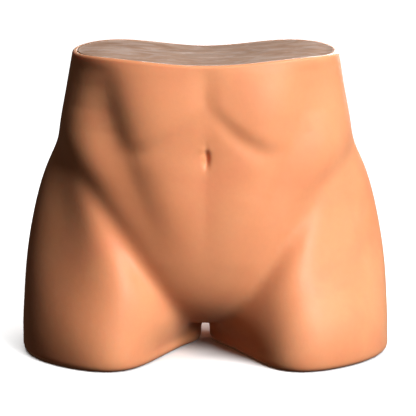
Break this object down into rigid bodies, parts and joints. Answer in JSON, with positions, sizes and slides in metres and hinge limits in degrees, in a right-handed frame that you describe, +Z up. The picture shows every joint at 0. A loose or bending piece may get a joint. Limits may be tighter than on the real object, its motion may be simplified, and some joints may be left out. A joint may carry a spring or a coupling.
{
  "type": "torso mannequin",
  "caption": "Free-standing soft lower-torso mannequin, waist to upper thigh, with a plain smooth pelvis: moulded skin over a foam core, closed at the waist by a dished cast layer.",
  "frame": {"origin": "centre of the form's outline on the surface that it stands on", "axes": "+Z up, -Y is the front of the body, +X is the body's left side, and X = 0 is its mirror plane"},
  "size_m": [0.3808, 0.2299, 0.3122],
  "materials": {
    "skin": "satin",
    "foam": "matte",
    "cast_layer": "matte"
  },
  "bodies": {
    "root": {"body_skin": "skin", "foam_core": "foam", "waist_cap": "cast_layer"}
  },
  "joints": []
}
